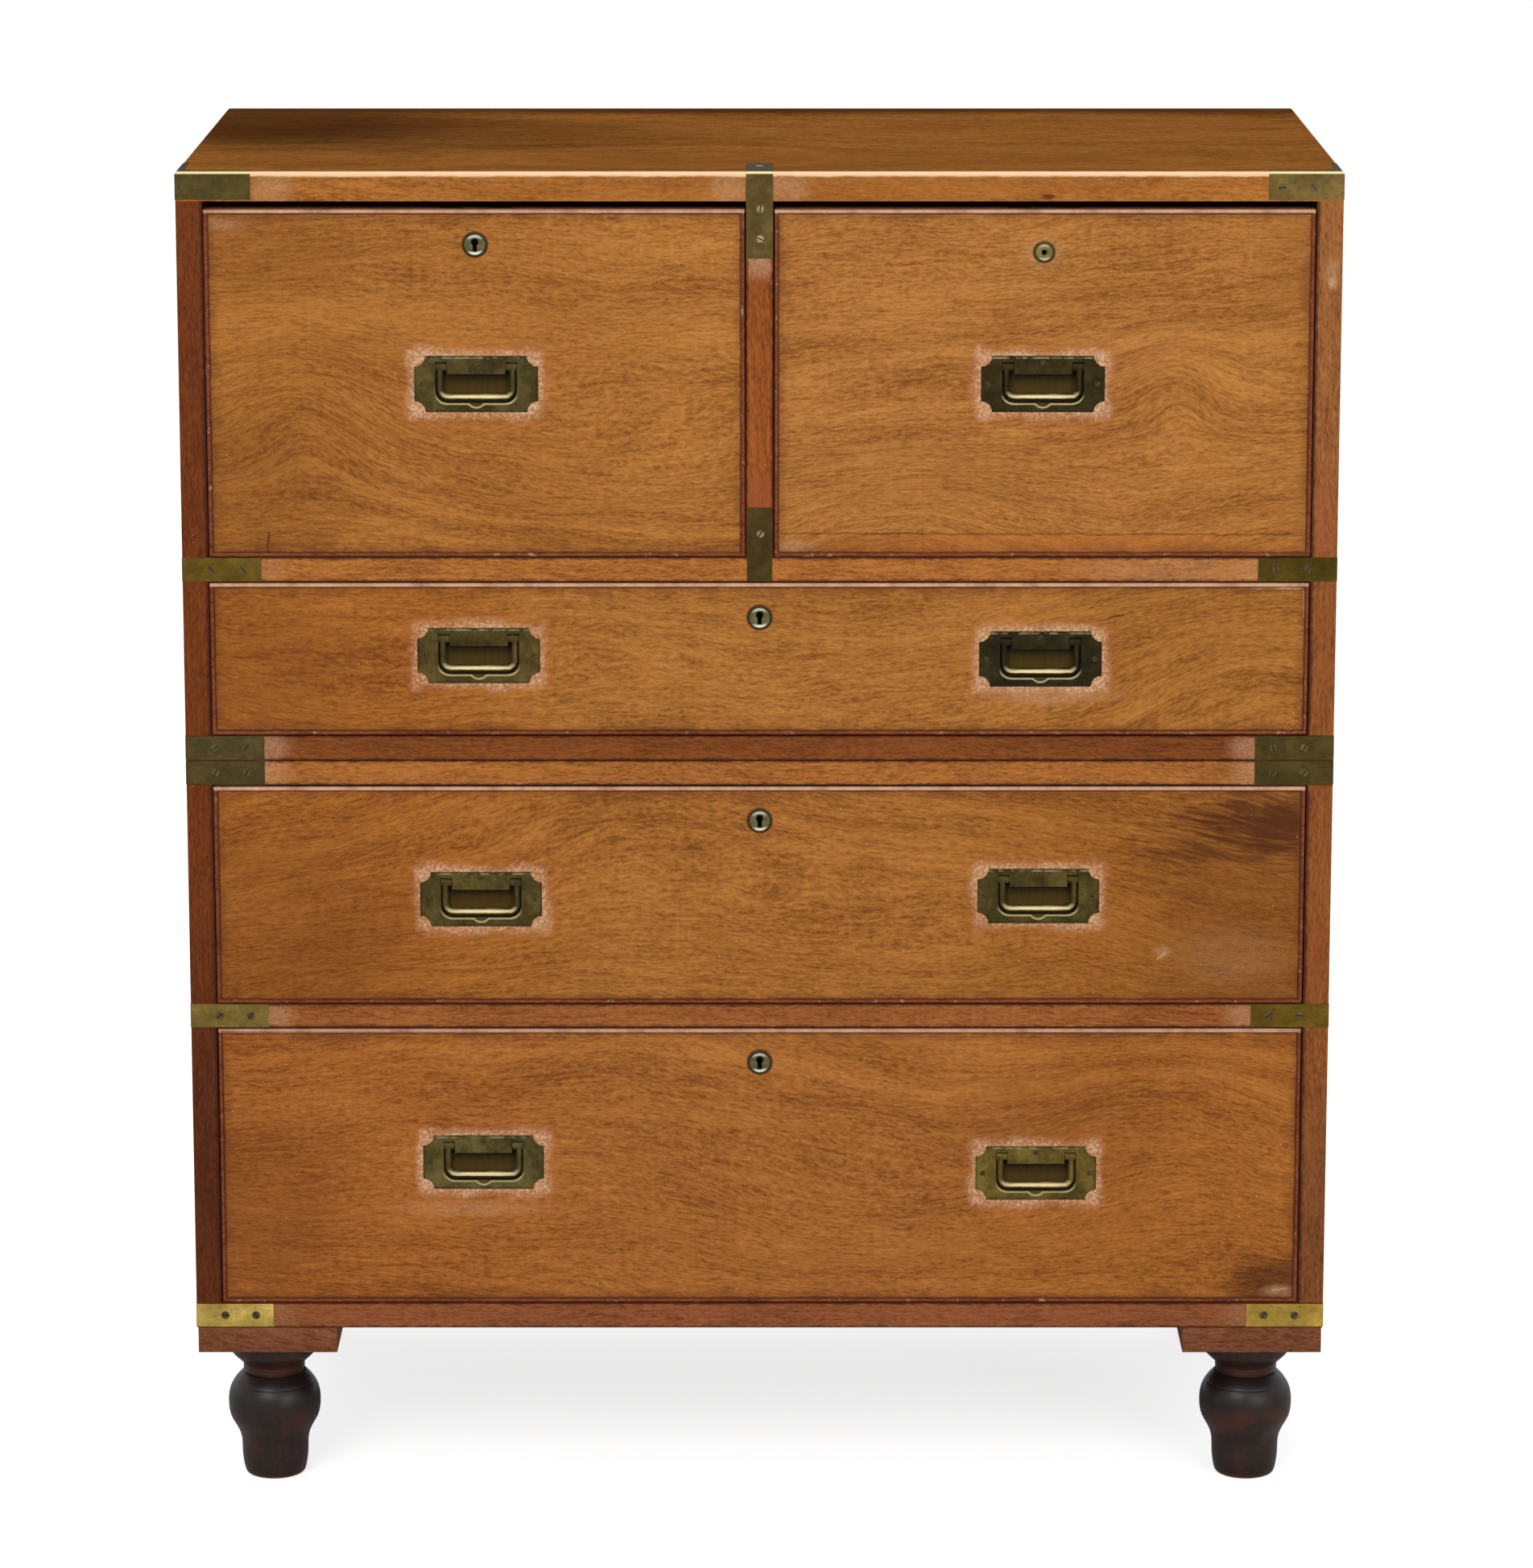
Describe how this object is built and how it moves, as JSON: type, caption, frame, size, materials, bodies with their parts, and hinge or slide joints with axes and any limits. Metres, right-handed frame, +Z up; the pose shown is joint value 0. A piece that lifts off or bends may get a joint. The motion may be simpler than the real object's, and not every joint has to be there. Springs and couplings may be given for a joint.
{
  "type": "campaign chest of drawers",
  "caption": "Two-part flat-topped wooden chest of drawers on turned feet, with flush swing handles, raised round locks and inlaid brass corner straps.",
  "frame": {"origin": "on the floor, below the middle of the chest's plan", "axes": "+Z up, -Y out of the drawer fronts, +X to the right of someone who looks at the front"},
  "size_m": [0.9908, 0.5026, 1.1744],
  "materials": {
    "case_mahogany": "old french polish, worn satin",
    "drawer_mahogany": "old french polish, worn satin",
    "dark_mahogany": "dark stained and polished",
    "lining_wood": "unfinished, aged",
    "stained_deal": "stained softwood",
    "strap_brass": "aged, dull",
    "handle_brass": "aged, dark patina",
    "bail_brass": "worn by handling",
    "lock_brass": "aged"
  },
  "bodies": {
    "lower_section": {"lower_side_left": "case_mahogany", "lower_side_right": "case_mahogany", "lower_top_board": "case_mahogany", "lower_base_board": "case_mahogany", "lower_back_boards": "stained_deal", "lower_rail": "case_mahogany", "lower_runners": "stained_deal", "lower_drawer_stops": "stained_deal", "lower_straps": "strap_brass", "foot_blocks": "case_mahogany", "turned_feet": "dark_mahogany", "locating_pegs": "stained_deal"},
    "upper_section": {"upper_side_left": "case_mahogany", "upper_side_right": "case_mahogany", "upper_top_board": "case_mahogany", "upper_bottom_board": "case_mahogany", "upper_back_boards": "stained_deal", "upper_rail": "case_mahogany", "upper_runners": "stained_deal", "upper_drawer_stops": "stained_deal", "centre_partition": "case_mahogany", "upper_straps": "strap_brass"},
    "top_left_drawer": {"top_left_drawer_front": "drawer_mahogany", "top_left_drawer_cock_beads": "case_mahogany", "top_left_drawer_box": "lining_wood", "top_left_drawer_handle_plates": "handle_brass", "top_left_drawer_lock": "lock_brass"},
    "top_right_drawer": {"top_right_drawer_front": "drawer_mahogany", "top_right_drawer_cock_beads": "case_mahogany", "top_right_drawer_box": "lining_wood", "top_right_drawer_handle_plates": "handle_brass", "top_right_drawer_lock": "lock_brass"},
    "upper_long_drawer": {"upper_long_drawer_front": "drawer_mahogany", "upper_long_drawer_cock_beads": "case_mahogany", "upper_long_drawer_box": "lining_wood", "upper_long_drawer_handle_plates": "handle_brass", "upper_long_drawer_lock": "lock_brass"},
    "middle_long_drawer": {"middle_long_drawer_front": "drawer_mahogany", "middle_long_drawer_cock_beads": "case_mahogany", "middle_long_drawer_box": "lining_wood", "middle_long_drawer_handle_plates": "handle_brass", "middle_long_drawer_lock": "lock_brass"},
    "bottom_long_drawer": {"bottom_long_drawer_front": "drawer_mahogany", "bottom_long_drawer_cock_beads": "case_mahogany", "bottom_long_drawer_box": "lining_wood", "bottom_long_drawer_handle_plates": "handle_brass", "bottom_long_drawer_lock": "lock_brass"},
    "top_left_drawer_bail": {"top_left_drawer_bail": "bail_brass"},
    "top_right_drawer_bail": {"top_right_drawer_bail": "bail_brass"},
    "upper_long_drawer_bail_left": {"upper_long_drawer_bail_left": "bail_brass"},
    "upper_long_drawer_bail_right": {"upper_long_drawer_bail_right": "bail_brass"},
    "middle_long_drawer_bail_left": {"middle_long_drawer_bail_left": "bail_brass"},
    "middle_long_drawer_bail_right": {"middle_long_drawer_bail_right": "bail_brass"},
    "bottom_long_drawer_bail_left": {"bottom_long_drawer_bail_left": "bail_brass"},
    "bottom_long_drawer_bail_right": {"bottom_long_drawer_bail_right": "bail_brass"},
    "top_left_drawer_lock_bolt": {"top_left_drawer_lock_bolt": "lock_brass"},
    "top_right_drawer_lock_bolt": {"top_right_drawer_lock_bolt": "lock_brass"},
    "upper_long_drawer_lock_bolt": {"upper_long_drawer_lock_bolt": "lock_brass"},
    "middle_long_drawer_lock_bolt": {"middle_long_drawer_lock_bolt": "lock_brass"},
    "bottom_long_drawer_lock_bolt": {"bottom_long_drawer_lock_bolt": "lock_brass"}
  },
  "joints": [
    {"name": "section_lift", "type": "slide", "parent": "lower_section", "child": "upper_section", "axis": [0, 0, 1], "range_m": [0, 0.05]},
    {"name": "top_left_drawer_slide", "type": "slide", "parent": "upper_section", "child": "top_left_drawer", "axis": [0, -1, 0], "range_m": [0, 0.33]},
    {"name": "top_right_drawer_slide", "type": "slide", "parent": "upper_section", "child": "top_right_drawer", "axis": [0, -1, 0], "range_m": [0, 0.33]},
    {"name": "upper_long_drawer_slide", "type": "slide", "parent": "upper_section", "child": "upper_long_drawer", "axis": [0, -1, 0], "range_m": [0, 0.33]},
    {"name": "middle_long_drawer_slide", "type": "slide", "parent": "lower_section", "child": "middle_long_drawer", "axis": [0, -1, 0], "range_m": [0, 0.33]},
    {"name": "bottom_long_drawer_slide", "type": "slide", "parent": "lower_section", "child": "bottom_long_drawer", "axis": [0, -1, 0], "range_m": [0, 0.33]},
    {"name": "top_left_drawer_bail_swing", "type": "hinge", "parent": "top_left_drawer", "child": "top_left_drawer_bail", "pos_m": [-0.2415, -0.2455, 1.00705], "axis": [-1, 0, 0], "range_deg": [0, 90]},
    {"name": "top_right_drawer_bail_swing", "type": "hinge", "parent": "top_right_drawer", "child": "top_right_drawer_bail", "pos_m": [0.2415, -0.2455, 1.00705], "axis": [-1, 0, 0], "range_deg": [0, 90]},
    {"name": "upper_long_drawer_bail_left_swing", "type": "hinge", "parent": "upper_long_drawer", "child": "upper_long_drawer_bail_left", "pos_m": [-0.2415, -0.2455, 0.7709], "axis": [-1, 0, 0], "range_deg": [0, 90]},
    {"name": "upper_long_drawer_bail_right_swing", "type": "hinge", "parent": "upper_long_drawer", "child": "upper_long_drawer_bail_right", "pos_m": [0.2415, -0.2455, 0.7679], "axis": [-1, 0, 0], "range_deg": [0, 90]},
    {"name": "middle_long_drawer_bail_left_swing", "type": "hinge", "parent": "middle_long_drawer", "child": "middle_long_drawer_bail_left", "pos_m": [-0.2415, -0.2455, 0.5554], "axis": [-1, 0, 0], "range_deg": [0, 90]},
    {"name": "middle_long_drawer_bail_right_swing", "type": "hinge", "parent": "middle_long_drawer", "child": "middle_long_drawer_bail_right", "pos_m": [0.2415, -0.2455, 0.5582], "axis": [-1, 0, 0], "range_deg": [0, 90]},
    {"name": "bottom_long_drawer_bail_left_swing", "type": "hinge", "parent": "bottom_long_drawer", "child": "bottom_long_drawer_bail_left", "pos_m": [-0.2415, -0.2455, 0.3188], "axis": [-1, 0, 0], "range_deg": [0, 90]},
    {"name": "bottom_long_drawer_bail_right_swing", "type": "hinge", "parent": "bottom_long_drawer", "child": "bottom_long_drawer_bail_right", "pos_m": [0.2415, -0.2455, 0.3089], "axis": [-1, 0, 0], "range_deg": [0, 90]},
    {"name": "top_left_drawer_lock_bolt_throw", "type": "slide", "parent": "top_left_drawer", "child": "top_left_drawer_lock_bolt", "axis": [0, 0, 1], "range_m": [0, 0.011]},
    {"name": "top_right_drawer_lock_bolt_throw", "type": "slide", "parent": "top_right_drawer", "child": "top_right_drawer_lock_bolt", "axis": [0, 0, 1], "range_m": [0, 0.011]},
    {"name": "upper_long_drawer_lock_bolt_throw", "type": "slide", "parent": "upper_long_drawer", "child": "upper_long_drawer_lock_bolt", "axis": [0, 0, 1], "range_m": [0, 0.011]},
    {"name": "middle_long_drawer_lock_bolt_throw", "type": "slide", "parent": "middle_long_drawer", "child": "middle_long_drawer_lock_bolt", "axis": [0, 0, 1], "range_m": [0, 0.011]},
    {"name": "bottom_long_drawer_lock_bolt_throw", "type": "slide", "parent": "bottom_long_drawer", "child": "bottom_long_drawer_lock_bolt", "axis": [0, 0, 1], "range_m": [0, 0.011]}
  ]
}
